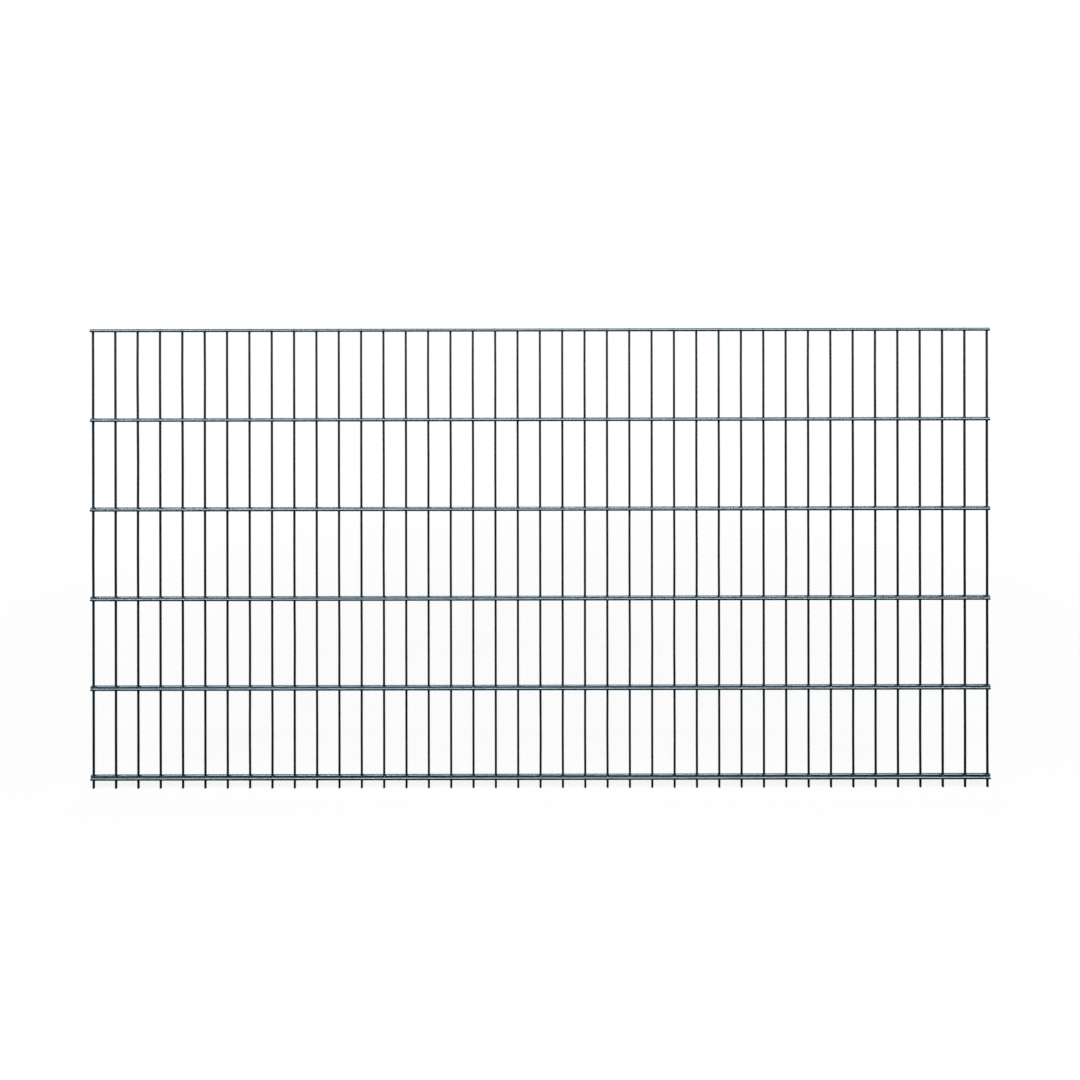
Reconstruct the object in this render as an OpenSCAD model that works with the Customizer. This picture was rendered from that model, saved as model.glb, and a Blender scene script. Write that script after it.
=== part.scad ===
// Welded double-rod mesh fence panel, 50 x 200 mm mesh of 6/5/6 mm wire.
// Single upright wires stand between pairs of level bars, one bar in front of
// them and one behind, and every crossing is pressed together and welded.
// The panel stands in the XZ plane with its front face towards -Y. The origin
// is the middle of the foot end of the middle upright.

/* [Wires] */
// Thickness of an upright wire
upright_d = 5; // [4:0.1:6]
// Thickness of a level bar
bar_d = 6; // [5:0.1:8]

/* [Mesh] */
// Distance between neighbouring uprights, from centre to centre
upright_pitch = 50; // [40:1:60]
// Number of uprights, an odd number so that one stands in the middle
upright_count = 41; // [11:2:47]
// Distance between neighbouring rows of bars, from centre to centre
row_pitch = 200; // [100:5:250]
// Number of rows, each with a front bar and a rear bar
row_count = 6; // [2:1:6]

/* [Edges] */
// How far the uprights reach below the centre of the lowest bars, as spikes
foot_overhang = 24; // [12:1:40]
// How far the uprights reach above the centre of the highest bars
head_overhang = 4; // [1:0.5:12]
// How far a front bar reaches past the centre of the end uprights
front_bar_overhang = 3.5; // [3.5:0.5:20]
// How far a rear bar reaches past the centre of the end uprights
rear_bar_overhang = 9; // [3.5:0.5:20]

/* [Welds] */
// How deep a bar is pressed into an upright at a crossing
set_down = 0.5; // [0.1:0.05:0.9]
// Thickness of the collar of squeezed-out metal round a crossing
collar_d = 4.4; // [3.4:0.1:4.6]

/* [Hidden] */
$fn = 48;
coat = "#12292f";

// Places of the wires
half_span = (upright_count - 1) * upright_pitch / 2;
panel_h = foot_overhang + (row_count - 1) * row_pitch + head_overhang;
bar_y = upright_d / 2 + bar_d / 2 - set_down;
function upright_x(i) = i * upright_pitch - half_span;
function row_z(i) = foot_overhang + i * row_pitch;

// Uprights are numbered from the left, and rows from the ground up
function two_digits(n) = n < 10 ? str("0", n) : str(n);
function upright_name(i) = str("upright_", two_digits(i + 1));
function front_bar_name(i) = str("front_bar_", i + 1);
function rear_bar_name(i) = str("rear_bar_", i + 1);

uprights = [0 : upright_count - 1];
rows = [0 : row_count - 1];

// A level wire of the row at height z, centred on the panel's middle
module level_wire(y, z, overhang) {
    length = 2 * (half_span + overhang);
    translate([-length / 2, y, z]) rotate([0, 90, 0]) cylinder(d = bar_d, h = length);
}

// The front bar of row i, on the -Y side of the uprights
module front_bar(i) {
    color(coat) level_wire(-bar_y, row_z(i), front_bar_overhang);
}

// The rear bar of row i, on the +Y side of the uprights
module rear_bar(i) {
    color(coat) level_wire(bar_y, row_z(i), rear_bar_overhang);
}

// The metal squeezed out round both crossings of one row, still uncut: a round
// boss that runs through the upright from bar centre to bar centre
module weld_collars(x, z) {
    translate([x, bar_y, z]) rotate([90, 0, 0]) cylinder(d = collar_d, h = 2 * bar_y);
}

// The beds that the two bars of one row press into upright and collars
module bar_beds(x, z) {
    for (side = [-1, 1])
        translate([x - upright_d, side * bar_y, z])
            rotate([0, 90, 0]) cylinder(d = bar_d, h = 2 * upright_d);
}

// Upright i, with a saddle for every bar that it is welded to
module upright(i) {
    x = upright_x(i);
    color(coat) difference() {
        union() {
            translate([x, 0, 0]) cylinder(d = upright_d, h = panel_h);
            for (row = rows) weld_collars(x, row_z(row));
        }
        for (row = rows) bar_beds(x, row_z(row));
    }
}

for (i = rows) front_bar(i);
for (i = rows) rear_bar(i);
for (i = uprights) upright(i);
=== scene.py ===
# %% [markdown]
# # A welded double-rod mesh fence panel
# The panel is made of straight steel wires. Single uprights stand between pairs of level bars,
# one bar in front and one behind, and each crossing is pressed together and welded. Then the
# whole mat is dipped in zinc and powder coated. This lesson loads the measured wires as a fixed
# frame and builds the finished surface of each wire over them: round wires, weld beads, press
# marks, cut ends and the dark coat.

# %% Load the frame
import math

import bmesh
import bpy
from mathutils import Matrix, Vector


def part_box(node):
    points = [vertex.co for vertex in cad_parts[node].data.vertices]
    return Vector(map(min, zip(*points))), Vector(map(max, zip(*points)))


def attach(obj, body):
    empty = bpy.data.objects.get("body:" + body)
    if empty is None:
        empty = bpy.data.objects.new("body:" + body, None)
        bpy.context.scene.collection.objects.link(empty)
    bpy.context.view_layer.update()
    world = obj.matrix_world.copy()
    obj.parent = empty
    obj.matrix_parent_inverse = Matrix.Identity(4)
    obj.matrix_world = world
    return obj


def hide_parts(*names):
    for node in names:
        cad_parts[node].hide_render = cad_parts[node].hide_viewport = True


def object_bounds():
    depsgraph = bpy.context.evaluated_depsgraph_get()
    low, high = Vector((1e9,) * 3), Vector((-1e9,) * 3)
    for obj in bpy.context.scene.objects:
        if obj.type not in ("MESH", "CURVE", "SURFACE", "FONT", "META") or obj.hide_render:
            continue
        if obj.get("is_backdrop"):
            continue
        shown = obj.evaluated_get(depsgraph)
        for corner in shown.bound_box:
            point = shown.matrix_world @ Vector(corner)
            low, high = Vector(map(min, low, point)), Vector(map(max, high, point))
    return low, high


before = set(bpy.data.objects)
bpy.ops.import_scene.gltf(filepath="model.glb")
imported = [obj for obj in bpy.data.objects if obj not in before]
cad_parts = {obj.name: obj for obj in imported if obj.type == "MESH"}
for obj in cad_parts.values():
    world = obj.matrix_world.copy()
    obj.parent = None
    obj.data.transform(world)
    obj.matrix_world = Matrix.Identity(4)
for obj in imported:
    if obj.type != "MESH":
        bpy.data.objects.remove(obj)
cad_low, cad_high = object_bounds()
print("wires in the frame:", len(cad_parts), "box", cad_low, cad_high)

# %% [markdown]
# The frame tells where every wire lies, so nothing is placed by eye. The mesh is regular: one
# pair of bars gives the height of a row, and two neighbours give a pitch. Only the wire sizes
# are written here, because the frame's tubes have few sides and their boxes are a hair smaller
# than the real round wires.

# %% Sizes of the wires, in metres
BAR_R = 0.003
UPRIGHT_R = 0.0025


def wires(prefix):
    """The names of the frame's wires of one kind, in order."""
    return sorted(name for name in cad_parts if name.startswith(prefix))


def middle(node):
    """The centre of a wire's box."""
    low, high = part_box(node)
    return (low + high) / 2


front_bars, rear_bars, uprights = wires("front_bar_"), wires("rear_bar_"), wires("upright_")
first_row = middle(front_bars[0]).z
row_pitch = middle(front_bars[1]).z - first_row
first_upright = middle(uprights[0]).x
upright_pitch = middle(uprights[1]).x - first_upright
bar_y = middle(rear_bars[0]).y
print(f"{len(uprights)} uprights every {upright_pitch:.3f} m,",
      f"{len(front_bars)} rows every {row_pitch:.3f} m")

# %% [markdown]
# ## Camera
# The photograph was taken square to the panel with the camera held high, so every upright is
# parallel and still the rear bars peep out over the front ones. A tilted camera would make the
# uprights lean together, so the camera here stays level and its lens is shifted down, as on an
# architect's camera. The two pixel rows and two pixel columns below fix its scale and place.

# %% The camera
PHOTO_SIDE = 1080
LEFT_UPRIGHT_PX, RIGHT_UPRIGHT_PX = 92.9, 986.5
TOP_ROW_PX, BOTTOM_ROW_PX = 326.9, 780.0
CAMERA_DISTANCE = 1.6
LENS_SHIFT = -0.25
CAMERA_ROLL = math.radians(0.1)
SENSOR = 36.0


def put_in_scene(name, data):
    """Makes an object of a mesh, lamp or camera and links it to the scene."""
    made = bpy.data.objects.new(name, data)
    bpy.context.scene.collection.objects.link(made)
    return made


px_per_m = (RIGHT_UPRIGHT_PX - LEFT_UPRIGHT_PX) / (2 * abs(first_upright))
picture_side = PHOTO_SIDE / px_per_m
rows_mid_z = first_row + (len(front_bars) - 1) * row_pitch / 2
picture_mid_z = rows_mid_z + ((TOP_ROW_PX + BOTTOM_ROW_PX) / 2 - PHOTO_SIDE / 2) / px_per_m
picture_mid_x = -((LEFT_UPRIGHT_PX + RIGHT_UPRIGHT_PX) / 2 - PHOTO_SIDE / 2) / px_per_m
camera_z = picture_mid_z - LENS_SHIFT * picture_side

lens = bpy.data.cameras.new("camera")
lens.sensor_width = SENSOR
lens.lens = SENSOR * CAMERA_DISTANCE / picture_side
lens.shift_y = LENS_SHIFT
camera = put_in_scene("camera", lens)
camera.location = (picture_mid_x, -CAMERA_DISTANCE, camera_z)
camera.rotation_euler = (math.radians(90), CAMERA_ROLL, 0)
bpy.context.scene.camera = camera
print(f"picture {picture_side:.3f} m wide, camera {camera_z:.3f} m above the ground")

# %% [markdown]
# ## Node helpers
# Both geometry and materials are node trees, and a tree built in code is easier to read when one
# line adds a node, sets it and plugs it in. These helpers do that. A value that is itself a
# socket gets a link, and any other value is written into the input.


# %% Helpers for node trees
def plug(tree, value, socket):
    """Links a socket to a socket, or writes a plain value into it."""
    if isinstance(value, bpy.types.NodeSocket):
        tree.links.new(value, socket)
    else:
        socket.default_value = value


def add(tree, kind, inputs=None, **options):
    """Adds a node with its options, and plugs in its inputs by name or number."""
    made = tree.nodes.new(kind)
    for key, value in options.items():
        setattr(made, key, value)
    for key, value in (inputs or {}).items():
        plug(tree, value, made.inputs[key])
    return made


def sockets(tree, direction, **kinds):
    """Adds named inputs or outputs to a node group."""
    for name, kind in kinds.items():
        tree.interface.new_socket(name, in_out=direction, socket_type="NodeSocket" + kind)


print("node helpers are ready")

# %% [markdown]
# Arithmetic in a tree takes one node for each step. The next helpers name the steps that come
# back most: one sum, a value that follows another one, the parts of a vector, and the distance
# to the nearest of many crossings. That last one is used twice, by the coat to find the welds
# and by the bars to find their press marks.


# %% Helpers for arithmetic in a tree
def calc(tree, operation, *values):
    """One step of arithmetic on numbers that may vary over the mesh."""
    return add(tree, "ShaderNodeMath", dict(enumerate(values)), operation=operation).outputs[0]


def follow(tree, value, start, end, first, last, kind="LINEAR"):
    """Goes from first to last while a value goes from start to end, and stays there beyond."""
    return add(tree, "ShaderNodeMapRange", {
        "Value": value, "From Min": start, "From Max": end, "To Min": first, "To Max": last,
    }, interpolation_type=kind).outputs["Result"]


def parts_of(tree, vector):
    """The X, Y and Z of a vector."""
    return add(tree, "ShaderNodeSeparateXYZ", {0: vector}).outputs


def vector_of(tree, **parts):
    """A vector of the given X, Y and Z, with 0 for what is left out."""
    return add(tree, "ShaderNodeCombineXYZ", parts).outputs[0]


def from_nearest(tree, coordinate, first, pitch):
    """How far a coordinate is from the nearest crossing of an even row of them."""
    cells = calc(tree, "DIVIDE", calc(tree, "SUBTRACT", coordinate, first), pitch)
    off = calc(tree, "SUBTRACT", cells, calc(tree, "ROUND", cells))
    return calc(tree, "MULTIPLY", off, pitch)


print("arithmetic helpers are ready")

# %% [markdown]
# ## Powder coat
# The coat is a dark blue-green, baked from powder. Up close it has three traits: a fine dimpled
# skin like orange peel, a tone that drifts a little from place to place, and a slightly fuller,
# greener film where the powder gathers round the welds. The first two share a shader group, and
# the mask that finds the welds is another, because any other coated steel could use them again.

# %% Shader group: orange peel
DIMPLE_DETAIL, DIMPLE_GRAIN = 1.5, 0.45
PATCH_DETAIL, PATCH_GRAIN = 3.0, 0.6


def orange_peel_group():
    """Dimples of baked powder: puts out a height for Bump, and patches for tone and gloss."""
    tree = bpy.data.node_groups.new("orange_peel", "ShaderNodeTree")
    sockets(tree, "INPUT", Vector="Vector", Dimple_size="Float", Patch_size="Float")
    sockets(tree, "OUTPUT", Height="Float", Patches="Float")
    given = add(tree, "NodeGroupInput").outputs
    dimples = add(tree, "ShaderNodeTexNoise", {
        "Vector": given["Vector"], "Scale": calc(tree, "DIVIDE", 1.0, given["Dimple_size"]),
        "Detail": DIMPLE_DETAIL, "Roughness": DIMPLE_GRAIN,
    }).outputs["Fac"]
    patches = add(tree, "ShaderNodeTexNoise", {
        "Vector": given["Vector"], "Scale": calc(tree, "DIVIDE", 1.0, given["Patch_size"]),
        "Detail": PATCH_DETAIL, "Roughness": PATCH_GRAIN,
    }).outputs["Fac"]
    add(tree, "NodeGroupOutput", {"Height": dimples, "Patches": patches})
    return tree


orange_peel = orange_peel_group()
print("made shader group", orange_peel.name)

# %% [markdown]
# The second group finds the welds. They could be painted by hand, but they repeat at an even
# pitch. So a point's distance to the nearest crossing follows from its place alone, and a smooth
# fade over that distance is the mask.


# %% Shader group: weld zones
def weld_zone_group():
    """A mask that is 1 at every crossing of the mesh and fades to 0 at a given reach."""
    tree = bpy.data.node_groups.new("weld_zone", "ShaderNodeTree")
    sockets(tree, "INPUT", Vector="Vector", Pitch_x="Float", Pitch_z="Float", First_x="Float",
            First_z="Float", Reach="Float")
    sockets(tree, "OUTPUT", Mask="Float")
    given = add(tree, "NodeGroupInput").outputs
    place = parts_of(tree, given["Vector"])
    dx = from_nearest(tree, place["X"], given["First_x"], given["Pitch_x"])
    dz = from_nearest(tree, place["Z"], given["First_z"], given["Pitch_z"])
    squares = calc(tree, "ADD", calc(tree, "MULTIPLY", dx, dx), calc(tree, "MULTIPLY", dz, dz))
    far = calc(tree, "SQRT", squares)
    mask = follow(tree, far, given["Reach"], 0.0, 0.0, 1.0, "SMOOTHSTEP")
    add(tree, "NodeGroupOutput", {"Mask": mask})
    return tree


weld_zone = weld_zone_group()
print("made shader group", weld_zone.name)

# %% [markdown]
# The material joins the groups. Its plain numbers, such as the coat's gloss, sit on the shader
# itself. Colours are given in linear light, and are as dark as the photograph's uprights. The
# photograph is also a little lighter and plainer on its left, and greener at the welds on its
# right, so the tone and the film change evenly across the panel.

# %% The coat's colours and sizes
COAT_DARK = (0.0010, 0.0095, 0.0165, 1)
COAT_LIGHT = (0.0029, 0.0180, 0.0300, 1)
COAT_WELD = (0.0008, 0.0280, 0.0265, 1)
GLOSS_IOR = 1.8
GLOSS_TINT = (0.80, 0.93, 1.0, 1)
ROUGH_LOW, ROUGH_HIGH = 0.30, 0.38
PATCH_LOW, PATCH_HIGH = 0.3, 0.7
DIMPLE_SIZE, PATCH_SIZE = 0.0016, 0.035
DIMPLE_DEPTH, DIMPLE_STRENGTH = 0.00016, 0.7
WELD_REACH = 0.009
FILM_LEFT, FILM_RIGHT = 0.35, 1.0
TONE_LEFT, TONE_RIGHT = 0.35, -0.1
print("coat from", COAT_DARK[:3], "to", COAT_LIGHT[:3])

# %% [markdown]
# The patches drive both the tone and the gloss: a lighter patch is also a little rougher, as
# where the powder lies thin. The film at the welds is mixed over that tone. The dimples go
# through a Bump node and not into the mesh, because they are far too fine to model.


# %% The coat's material
def colour_mix(tree, share, first, second):
    """Mixes two colours by a share from 0 to 1."""
    mixed = add(tree, "ShaderNodeMix", {0: share, 6: first, 7: second}, data_type="RGBA")
    return mixed.outputs[2]


def powder_coat():
    """Semi-gloss dark powder coat over galvanised wire."""
    made = bpy.data.materials.new("powder_coat")
    made.use_nodes = True
    tree = made.node_tree
    shader = tree.nodes["Principled BSDF"].inputs
    shader["IOR"].default_value = GLOSS_IOR
    shader["Specular Tint"].default_value = GLOSS_TINT
    where = add(tree, "ShaderNodeTexCoord").outputs["Object"]
    skin = add(tree, "ShaderNodeGroup", node_tree=orange_peel)
    weld = add(tree, "ShaderNodeGroup", node_tree=weld_zone)
    for group, values in (
            (skin, {"Vector": where, "Dimple_size": DIMPLE_SIZE, "Patch_size": PATCH_SIZE}),
            (weld, {"Vector": where, "Pitch_x": upright_pitch, "Pitch_z": row_pitch,
                    "First_x": first_upright, "First_z": first_row, "Reach": WELD_REACH})):
        for name, value in values.items():
            plug(tree, value, group.inputs[name])
    patches, side = skin.outputs["Patches"], parts_of(tree, where)["X"]

    def across(left, right):
        """A value that changes evenly from the panel's left end to its right end."""
        return follow(tree, side, cad_low.x, cad_high.x, left, right)

    tone = calc(tree, "ADD", patches, across(TONE_LEFT, TONE_RIGHT))
    colour = colour_mix(tree, tone, COAT_DARK, COAT_LIGHT)
    film = calc(tree, "MULTIPLY", weld.outputs["Mask"], across(FILM_LEFT, FILM_RIGHT))
    plug(tree, colour_mix(tree, film, colour, COAT_WELD), shader["Base Color"])
    rough = follow(tree, patches, PATCH_LOW, PATCH_HIGH, ROUGH_LOW, ROUGH_HIGH)
    plug(tree, rough, shader["Roughness"])
    bump = add(tree, "ShaderNodeBump", {
        "Height": skin.outputs["Height"], "Strength": DIMPLE_STRENGTH, "Distance": DIMPLE_DEPTH,
    })
    plug(tree, bump.outputs["Normal"], shader["Normal"])
    return made


coat = powder_coat()
print("made material", coat.name)

# %% [markdown]
# ## A round wire by Geometry Nodes
# Every wire follows the same rule: a straight round bar that meets other wires at an even pitch.
# So one tree makes them all, along its own X axis. It lays down a line of points and sweeps a
# circle along them. Evenly spread points would waste faces, so each ring belongs to its nearest
# crossing, and a power crowds the rings towards it, where the wire is pressed. Points beyond the
# wire's ends are moved back onto the end and merged there.

# %% Inputs of a wire, and the places of its rings
WIRE_INPUTS = dict(Start="Float", End="Float", Radius="Float", Sides="Int",
                   First_crossing="Float", Pitch="Float", Crossings="Int",
                   Rings_per_pitch="Int", Crowding="Float", Mark_depth="Float",
                   Mark_reach="Float", Bow="Float", Seed="Int")


def ring_places(tree, given):
    """Where each ring lies along X."""
    rings = given["Rings_per_pitch"]
    half = calc(tree, "DIVIDE", rings, 2.0)
    index = add(tree, "GeometryNodeInputIndex").outputs[0]
    crossing = calc(tree, "FLOOR", calc(tree, "DIVIDE", index, rings))
    # A share of -1 to 1 of half a pitch from the crossing
    in_cell = calc(tree, "SUBTRACT", calc(tree, "MODULO", index, rings), half)
    share = calc(tree, "DIVIDE", in_cell, half)
    crowded = calc(tree, "POWER", calc(tree, "ABSOLUTE", share), given["Crowding"])
    signed = calc(tree, "MULTIPLY", calc(tree, "SIGN", share), crowded)
    steps = calc(tree, "ADD", crossing, calc(tree, "MULTIPLY", signed, 0.5))
    along = calc(tree, "ADD", given["First_crossing"],
                 calc(tree, "MULTIPLY", steps, given["Pitch"]))
    return calc(tree, "MINIMUM", calc(tree, "MAXIMUM", along, given["Start"]), given["End"])


print("a wire has", len(WIRE_INPUTS), "inputs")

# %% [markdown]
# Two things make a wire look pressed and welded and not drawn with a ruler. Between crossings it
# may bow by a fraction of a millimetre, by a noise that has one fixed value for each space. And
# its outer side is flattened a little at each crossing, where the electrode pressed on it. Both
# could be modelled by hand, but as rules they stay right when the mesh's pitch changes.

# %% Bow and press marks
BOW_SEED_STEP, BOW_SCALE = 7.31, 0.83
FULL_MARK = 0.4


def bow_at(tree, given, along):
    """The wire's bow: nothing at a crossing and largest halfway between two of them."""
    cells = calc(tree, "DIVIDE", calc(tree, "SUBTRACT", along, given["First_crossing"]),
                 given["Pitch"])
    wave = calc(tree, "SINE", calc(tree, "MULTIPLY", cells, math.pi))
    own_place = calc(tree, "MULTIPLY", given["Seed"], BOW_SEED_STEP)
    drift = add(tree, "ShaderNodeTexNoise", {
        "W": calc(tree, "ADD", calc(tree, "FLOOR", cells), own_place),
        "Scale": BOW_SCALE, "Detail": 0.0,
    }, noise_dimensions="1D").outputs["Fac"]
    swing = calc(tree, "MULTIPLY", calc(tree, "SUBTRACT", drift, 0.5), 2.0)
    shape = calc(tree, "MULTIPLY", calc(tree, "MULTIPLY", wave, wave), swing)
    return calc(tree, "MULTIPLY", shape, given["Bow"])


def press_marks(tree, given, tube):
    """Keeps the tube's -Y side within its radius less the mark's depth near a crossing."""
    at = parts_of(tree, add(tree, "GeometryNodeInputPosition").outputs[0])
    off = from_nearest(tree, at["X"], given["First_crossing"], given["Pitch"])
    full = calc(tree, "MULTIPLY", given["Mark_reach"], FULL_MARK)
    press = follow(tree, calc(tree, "ABSOLUTE", off), given["Mark_reach"], full, 0.0, 1.0,
                   "SMOOTHSTEP")
    limit = calc(tree, "SUBTRACT", calc(tree, "MULTIPLY", press, given["Mark_depth"]),
                 given["Radius"])
    flat = vector_of(tree, X=at["X"], Y=calc(tree, "MAXIMUM", at["Y"], limit), Z=at["Z"])
    return add(tree, "GeometryNodeSetPosition", {"Geometry": tube, "Position": flat}).outputs[0]


print("bow and press marks are ready")

# %% [markdown]
# Now the wire itself. The points of a mesh line go to their ring places, those that fell on one
# spot are merged, and the line becomes a curve. A circle swept along it gives a tube with closed
# ends, and the press marks then flatten its outer side.

# %% Geometry group: coated wire
MERGE_WITHIN = 0.00001


def wire_tree():
    """A swept wire along X with press marks on its -Y side."""
    tree = bpy.data.node_groups.new("coated_wire", "GeometryNodeTree")
    sockets(tree, "INPUT", **WIRE_INPUTS)
    sockets(tree, "OUTPUT", Geometry="Geometry")
    given = add(tree, "NodeGroupInput").outputs
    rings = calc(tree, "MULTIPLY", given["Crossings"], given["Rings_per_pitch"])
    line = add(tree, "GeometryNodeMeshLine", {"Count": calc(tree, "ADD", rings, 1.0)}).outputs[0]
    along = ring_places(tree, given)
    place = vector_of(tree, X=along, Z=bow_at(tree, given, along))
    placed = add(tree, "GeometryNodeSetPosition", {"Geometry": line, "Position": place})
    merged = add(tree, "GeometryNodeMergeByDistance", {
        "Geometry": placed.outputs[0], "Distance": MERGE_WITHIN,
    })
    path = add(tree, "GeometryNodeMeshToCurve", {"Mesh": merged.outputs[0]})
    round_wire = add(tree, "GeometryNodeCurvePrimitiveCircle", {
        "Resolution": given["Sides"], "Radius": given["Radius"],
    }, mode="RADIUS")
    tube = add(tree, "GeometryNodeCurveToMesh", {
        "Curve": path.outputs[0], "Profile Curve": round_wire.outputs[0], "Fill Caps": True,
    })
    add(tree, "NodeGroupOutput", {"Geometry": press_marks(tree, given, tube.outputs[0])})
    return tree


coated_wire = wire_tree()
print("made geometry group", coated_wire.name)

# %% [markdown]
# ## Weld bead
# Where two wires were pressed together, hot metal is squeezed out round the contact and freezes
# as a small collar. It is a saddle: its one edge lies on the upright and its other edge on the
# bar. The shape follows from the two wires' own circles, so it is worked out point by point,
# once, and repeated by the next tree. It has only a few dozen faces because the panel shows it
# hundreds of times.

# %% The edges of the bead
BEAD_POINTS = 16
UPRIGHT_EDGE = (0.0023, 0.0031)
BAR_EDGE = (0.0032, 0.0024)
BEAD_SINK = 0.00004
BEAD_CURVE = (0.35, 0.7)
BEAD_FULLNESS = 0.93


def edge_point(angle, on_upright):
    """A point of the bead's edge. The upright runs along X, and the bar along Z at +Y."""
    reach_z, reach_x = UPRIGHT_EDGE if on_upright else BAR_EDGE
    x, z = reach_x * math.sin(angle), reach_z * math.cos(angle)
    if on_upright:
        return Vector((x, math.sqrt(UPRIGHT_R**2 - z**2) - BEAD_SINK, z))
    return Vector((x, bar_y - math.sqrt(BAR_R**2 - x**2) + BEAD_SINK, z))


print("the bead reaches", UPRIGHT_EDGE[1], "m along the upright")

# %% [markdown]
# Four rings of points lead from the one edge to the other. The middle two are drawn in a little,
# as molten metal is between two wires that it wets. A fan of faces to a point inside each wire
# closes the ends, so the bead is a closed body of its own.


# %% The bead's mesh
def bead_mesh():
    """A closed saddle-shaped collar between two crossing round wires."""
    made = bmesh.new()
    angles = [2 * math.pi * i / BEAD_POINTS for i in range(BEAD_POINTS)]
    rings = []
    for share in (0.0, *BEAD_CURVE, 1.0):
        full = BEAD_FULLNESS if share in BEAD_CURVE else 1.0
        points = [edge_point(angle, True).lerp(edge_point(angle, False), share)
                  for angle in angles]
        rings.append([made.verts.new((p.x * full, p.y, p.z * full)) for p in points])
    following = [(i, (i + 1) % BEAD_POINTS) for i in range(BEAD_POINTS)]
    for lower, upper in zip(rings, rings[1:]):
        for i, j in following:
            made.faces.new((lower[i], lower[j], upper[j], upper[i]))
    for ring, depth in ((rings[0], 0.0), (rings[-1], bar_y)):
        pole = made.verts.new((0, depth, 0))
        for i, j in following:
            made.faces.new((ring[i], ring[j], pole))
    bmesh.ops.recalc_face_normals(made, faces=made.faces)
    mesh = bpy.data.meshes.new("weld_bead")
    made.to_mesh(mesh)
    made.free()
    return mesh


bead = put_in_scene("weld_bead", bead_mesh())
print("weld bead has", len(bead.data.polygons), "faces")

# %% [markdown]
# The bead goes in as instances on a line of points, two at every crossing: one for the front bar
# and, turned halfway round, one for the rear bar. Each is also turned and scaled a little by a
# seeded random number, because no two welds squeeze out quite the same metal.

# %% Beads at the crossings
BEAD_TWIST = 0.12
BEAD_SMALLEST, BEAD_LARGEST = (0.93, 1.0, 0.93), (1.05, 1.0, 1.03)


def add_beads(tree, given, parts):
    """Joins a bead on each side of every crossing to the wire."""
    crossings = add(tree, "GeometryNodeMeshLine", {
        "Count": given["Crossings"], "Start Location": vector_of(tree, X=given["First_crossing"]),
        "Offset": vector_of(tree, X=given["Pitch"]),
    }).outputs[0]
    shape = add(tree, "GeometryNodeObjectInfo", {"Object": bead}).outputs["Geometry"]
    for side, half_turn in enumerate((0.0, math.pi)):
        seed = calc(tree, "ADD", calc(tree, "MULTIPLY", given["Seed"], 2.0), float(side))
        twist = add(tree, "FunctionNodeRandomValue", {
            "Min": (half_turn, -BEAD_TWIST, 0.0), "Max": (half_turn, BEAD_TWIST, 0.0),
            "Seed": seed,
        }, data_type="FLOAT_VECTOR").outputs["Value"]
        size = add(tree, "FunctionNodeRandomValue", {
            "Min": BEAD_SMALLEST, "Max": BEAD_LARGEST, "Seed": seed,
        }, data_type="FLOAT_VECTOR").outputs["Value"]
        beads = add(tree, "GeometryNodeInstanceOnPoints", {
            "Points": crossings, "Instance": shape, "Rotation": twist, "Scale": size,
        }).outputs[0]
        tree.links.new(beads, parts.inputs[0])


print("beads are turned by up to", BEAD_TWIST, "radians")

# %% [markdown]
# ## Uprights and bars as trees
# The bar's tree is the wire alone, and the upright's tree adds the beads. Both end by turning
# the wire into place, realizing the beads and setting the coat.


# %% Geometry trees of a bar and of an upright
def finished_tree(name, with_beads):
    """The wire group, the beads if it has them, then the turn, the place and the coat."""
    tree = bpy.data.node_groups.new(name, "GeometryNodeTree")
    sockets(tree, "INPUT", Geometry="Geometry", **WIRE_INPUTS, Place="Vector", Turn="Vector")
    sockets(tree, "OUTPUT", Geometry="Geometry")
    given = add(tree, "NodeGroupInput").outputs
    wire = add(tree, "GeometryNodeGroup", node_tree=coated_wire)
    for key in WIRE_INPUTS:
        plug(tree, given[key], wire.inputs[key])
    parts = add(tree, "GeometryNodeJoinGeometry", {0: wire.outputs[0]})
    if with_beads:
        add_beads(tree, given, parts)
    turned = add(tree, "GeometryNodeTransform", {
        "Geometry": parts.outputs[0], "Translation": given["Place"], "Rotation": given["Turn"],
    })
    real = add(tree, "GeometryNodeRealizeInstances", {"Geometry": turned.outputs[0]})
    smooth = add(tree, "GeometryNodeSetShadeSmooth", {"Geometry": real.outputs[0]})
    coated = add(tree, "GeometryNodeSetMaterial", {
        "Geometry": smooth.outputs[0], "Material": coat,
    })
    add(tree, "NodeGroupOutput", {"Geometry": coated.outputs[0]})
    return tree


bar_tree = finished_tree("finished_bar", False)
upright_tree = finished_tree("finished_upright", True)
print("made geometry groups", bar_tree.name, "and", upright_tree.name)

# %% [markdown]
# ## Cut ends
# The wires are cut on a shear, which leaves a face that is a little out of square, and the coat
# rounds its rim. A bevel on the rim's edges and a small slant of the end face show both. The
# slant only takes length away, so the wire stays inside its measured size. The bevel makes new
# faces, so the coat is given to the whole mesh again afterwards.

# %% Slanted and rounded ends
END_SLANT = 0.0003
END_ROUND = 0.0008
ROUND_STEPS = 3


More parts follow.
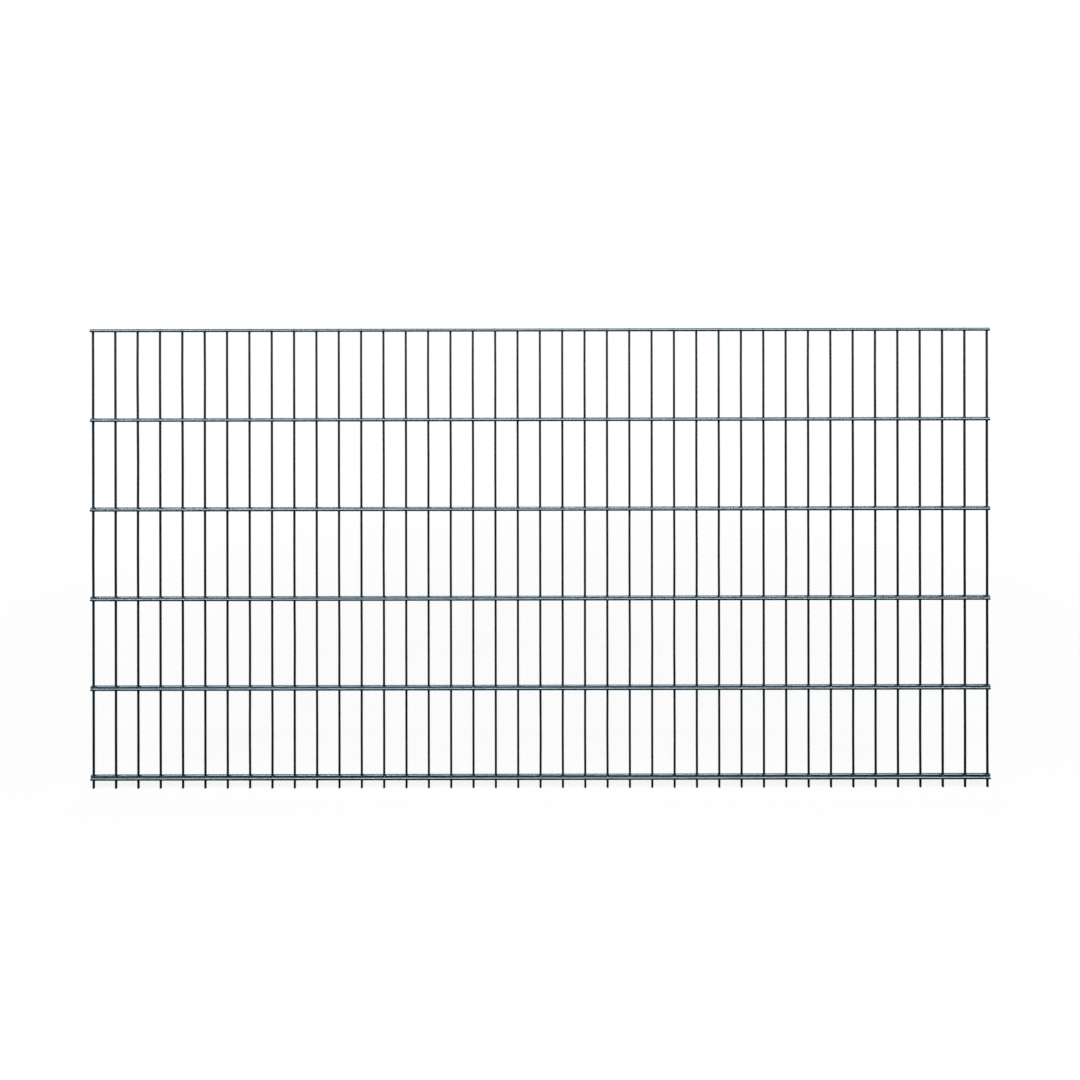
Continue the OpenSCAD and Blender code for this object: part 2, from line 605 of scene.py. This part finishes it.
def finish_ends(mesh, axis, sides):
    """Finishes the two end faces of a wire that runs along an axis, 0 for X and 2 for Z."""
    made = bmesh.new()
    made.from_mesh(mesh)
    caps = [face for face in made.faces if len(face.verts) == sides]
    for cap in caps:
        centre = cap.calc_center_median()
        inward = -math.copysign(1, cap.normal[axis])
        for corner in cap.verts:
            across = corner.co.y - centre.y
            corner.co[axis] += inward * END_SLANT * (across / BAR_R + 1) / 2
    rims = {edge for cap in caps for edge in cap.edges}
    bmesh.ops.bevel(made, geom=list(rims), offset=END_ROUND, segments=ROUND_STEPS, profile=0.5,
                    affect="EDGES")
    for face in made.faces:
        face.material_index = 0
    made.to_mesh(mesh)
    made.free()
    mesh.materials.clear()
    mesh.materials.append(coat)


print("ends are slanted by", END_SLANT, "m and rounded by", END_ROUND, "m")

# %% [markdown]
# ## From tree to wire
# A modifier runs the tree, and its result is copied into a plain mesh, so that the modifier can
# go. Then the frame is told three things: the wire rides on the panel's one body, it takes the
# place of the measured wire, and it wears the coat.

# %% Helpers that make one wire
SMOOTH_ANGLE = math.radians(50)


def set_input(modifier, name, value):
    """Sets a modifier's input by its socket's identifier, which stays if the name changes."""
    for item in modifier.node_group.interface.items_tree:
        if item.item_type == "SOCKET" and item.in_out == "INPUT" and item.name == name:
            modifier[item.identifier] = value
            return
    raise KeyError(name)


def make_wire(node, tree, values):
    """Runs a tree for one wire, turns the result into a plain mesh and hands it to the frame."""
    name = "coated_" + node
    piece = put_in_scene(name, bpy.data.meshes.new(name))
    modifier = piece.modifiers.new("wire", "NODES")
    modifier.node_group = tree
    for key, value in values.items():
        set_input(modifier, key, value)
    bpy.context.view_layer.update()
    depsgraph = bpy.context.evaluated_depsgraph_get()
    mesh = bpy.data.meshes.new_from_object(piece.evaluated_get(depsgraph))
    piece.modifiers.clear()
    piece.data = mesh
    mesh.name = name
    finish_ends(mesh, 2 if tree == upright_tree else 0, values["Sides"])
    mesh.set_sharp_from_angle(angle=SMOOTH_ANGLE)
    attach(piece, "root")
    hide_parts(node)


print("wire helpers are ready")

# %% [markdown]
# ## Level bars
# The front bars carry the look of the panel: each shows a bright upper flank and a dark
# underside. They get press marks on their outer side. The rear bars are the same wire turned
# half round, so that their marks face the other way.

# %% The level bars
BAR_SIDES = 26
BAR_RINGS = 8
CROWDING = 2.2
MARK_DEPTH = 0.00018
MARK_REACH = 0.0065


def bar_values(node, number, turn):
    """The inputs of one level bar's tree, read from its CAD node."""
    low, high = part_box(node)
    return {
        "Start": low.x, "End": high.x, "Radius": BAR_R, "Sides": BAR_SIDES,
        "First_crossing": first_upright, "Pitch": upright_pitch, "Crossings": len(uprights),
        "Rings_per_pitch": BAR_RINGS, "Crowding": CROWDING, "Mark_depth": MARK_DEPTH,
        "Mark_reach": MARK_REACH, "Bow": 0.0, "Seed": number,
        "Place": (0.0, (low.y + high.y) / 2, (low.z + high.z) / 2), "Turn": (0.0, 0.0, turn),
    }


for bars, turn in ((front_bars, 0.0), (rear_bars, math.pi)):
    for number, node in enumerate(bars):
        make_wire(node, bar_tree, bar_values(node, number, turn))
print("made", len(front_bars) + len(rear_bars), "bars")

# %% [markdown]
# ## Uprights
# An upright runs from its spike at the foot to its cut end just above the top bars. The tree
# makes it along X, and a quarter turn stands it up. Each has its own seed, so that no two have
# the same bow and the same beads.

# %% The uprights
UPRIGHT_SIDES = 20
UPRIGHT_RINGS = 10
BOW = 0.0005
STAND_UP = (0.0, -math.pi / 2, 0.0)

for number, node in enumerate(uprights):
    low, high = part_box(node)
    make_wire(node, upright_tree, {
        "Start": low.z, "End": high.z, "Radius": UPRIGHT_R, "Sides": UPRIGHT_SIDES,
        "First_crossing": first_row, "Pitch": row_pitch, "Crossings": len(front_bars),
        "Rings_per_pitch": UPRIGHT_RINGS, "Crowding": 1.0, "Mark_depth": 0.0,
        "Mark_reach": MARK_REACH, "Bow": BOW, "Seed": number,
        "Place": ((low.x + high.x) / 2, 0.0, 0.0), "Turn": STAND_UP,
    })
bpy.data.objects.remove(bead)
print("made", len(uprights), "uprights")

# %% [markdown]
# ## Floor and white surroundings
# The photograph is cut out on pure white. Here the white comes from what the camera sees, and
# not from more light. Light Path tells which rays come from the camera, so a surface can be
# white for them alone, and all other rays find something else there.

# %% The white page
PAGE_WHITE = (1, 1, 1, 1)


def white_for_camera(tree, white, other):
    """Shows one shader to the camera and another to every other ray."""
    seen = add(tree, "ShaderNodeLightPath").outputs["Is Camera Ray"]
    return add(tree, "ShaderNodeMixShader", {0: seen, 1: other, 2: white}).outputs[0]


print("the page is", PAGE_WHITE[:3])

# %% [markdown]
# The floor is white for the camera, apart from a share of paint that still takes the panel's
# soft shadow. That share fades away from the panel, so the floor has no edge that shows. The
# paint is a little warm, to cancel the cool tint of the lamps.

# %% The floor
FLOOR_PAINT = (0.008, 0.010, 0.012, 1)
PAGE_PAINT = (1.0, 0.93, 0.89, 1)
FLOOR_SHADE = 0.15
FLOOR_SIDE = 60.0
SHADE_NEAR, SHADE_FAR = 0.8, 2.6


def floor_material():
    """Pale floor that fades into the white page and keeps the panel's shadow."""
    made = bpy.data.materials.new("pale_floor")
    made.use_nodes = True
    tree = made.node_tree
    tree.nodes.remove(tree.nodes["Principled BSDF"])
    paint = add(tree, "ShaderNodeBsdfDiffuse", {"Color": FLOOR_PAINT}).outputs[0]
    page_paint = add(tree, "ShaderNodeBsdfDiffuse", {"Color": PAGE_PAINT}).outputs[0]
    page = add(tree, "ShaderNodeEmission", {"Color": PAGE_WHITE, "Strength": 1.0}).outputs[0]
    spot = add(tree, "ShaderNodeTexCoord").outputs["Object"]
    far = add(tree, "ShaderNodeVectorMath", {0: spot}, operation="LENGTH").outputs["Value"]
    shade = follow(tree, far, SHADE_NEAR, SHADE_FAR, FLOOR_SHADE, 0.0, "SMOOTHSTEP")
    white = add(tree, "ShaderNodeMixShader", {0: shade, 1: page, 2: page_paint}).outputs[0]
    surface = tree.nodes["Material Output"].inputs["Surface"]
    plug(tree, white_for_camera(tree, white, paint), surface)
    return made


half = FLOOR_SIDE / 2
corners = [(-half, -half, 0), (half, -half, 0), (half, half, 0), (-half, half, 0)]
floor_mesh = bpy.data.meshes.new("floor")
floor_mesh.from_pydata(corners, [], [(0, 1, 2, 3)])
floor_mesh.materials.append(floor_material())
put_in_scene("floor", floor_mesh)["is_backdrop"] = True
print("floor is", FLOOR_SIDE, "m wide")

# %% [markdown]
# The world is white for the camera too. The wires' gloss sees a dim room instead, dark to the
# sides and a little lighter above, because in the photograph the uprights mirror something dark.

# %% The world
ROOM_LOW = (0.01, 0.012, 0.015, 1)
ROOM_HIGH = (0.16, 0.18, 0.20, 1)
ROOM_LOW_TO, ROOM_HIGH_FROM = 0.2, 0.7

world = bpy.data.worlds.new("studio")
bpy.context.scene.world = world
world.use_nodes = True
sky = world.node_tree
page = add(sky, "ShaderNodeBackground", {"Color": PAGE_WHITE, "Strength": 1.0}).outputs[0]
upward = parts_of(sky, add(sky, "ShaderNodeTexCoord").outputs["Generated"])["Z"]
height = follow(sky, upward, ROOM_LOW_TO, ROOM_HIGH_FROM, 0.0, 1.0, "SMOOTHSTEP")
walls = colour_mix(sky, height, ROOM_LOW, ROOM_HIGH)
room = add(sky, "ShaderNodeBackground", {"Color": walls, "Strength": 1.0}).outputs[0]
plug(sky, white_for_camera(sky, page, room), sky.nodes["World Output"].inputs["Surface"])
print("made world", world.name)

# %% [markdown]
# ## Light
# In the photograph a broad light hangs overhead, a little in front and to the right: it draws
# the bright line along every bar and throws each upright's shadow to the left onto the rear bar.
# Such a light is a rectangular area lamp here, and its size decides how soft its line and its
# shadow are. All lamps have the same slightly cool tint.

# %% A softbox
LIGHT_TINT = (0.90, 0.96, 1.0)


def softbox(name, place, aim, size, power):
    """A rectangular area lamp that points at a spot."""
    lamp = bpy.data.lights.new(name, "AREA")
    lamp.shape = "RECTANGLE"
    lamp.size, lamp.size_y = size
    lamp.energy = power
    lamp.color = LIGHT_TINT
    made = put_in_scene(name, lamp)
    made.location = place
    made.rotation_euler = (Vector(aim) - Vector(place)).to_track_quat("-Z", "Y").to_euler()
    return made


print("lamps are tinted", LIGHT_TINT)

# %% [markdown]
# The overhead softbox is only as strong as shows a colour about as it is written. The bright
# lines on the bars need more, but more light would wash out the dark coat. So a second softbox
# just below the first is seen by gloss alone. A weak lamp from the left front keeps the uprights
# from going black, and one from behind does the same for the rear side.

# %% The lamps
PANEL_MIDDLE = (0, 0, cad_high.z / 2)
OVERHEAD_AIM = (0.4, 0, cad_high.z / 2)

softbox("overhead", place=(0.4, -1.5, 2.7), aim=OVERHEAD_AIM, size=(6.6, 1.1), power=145)
gleam = softbox("overhead_gleam", place=(0.4, -1.47, 2.65), aim=OVERHEAD_AIM,
                size=(6.6, 1.0), power=300)
gleam.visible_diffuse = False
softbox("side_fill", place=(-2.6, -2.4, 1.2), aim=PANEL_MIDDLE, size=(1.6, 1.6), power=10)
softbox("rear_fill", place=(-0.3, 3.0, 1.0), aim=PANEL_MIDDLE, size=(5.0, 1.2), power=50)
bpy.context.scene.view_settings.view_transform = "Standard"
print("four lamps are lit")

# %% [markdown]
# ## Boxes at the end
# The finished panel has to fit the measured one, so both boxes are printed.

# %% Sizes of the frame and of the panel
low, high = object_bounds()
print("cad box", cad_low, cad_high, "visual box", low, high)
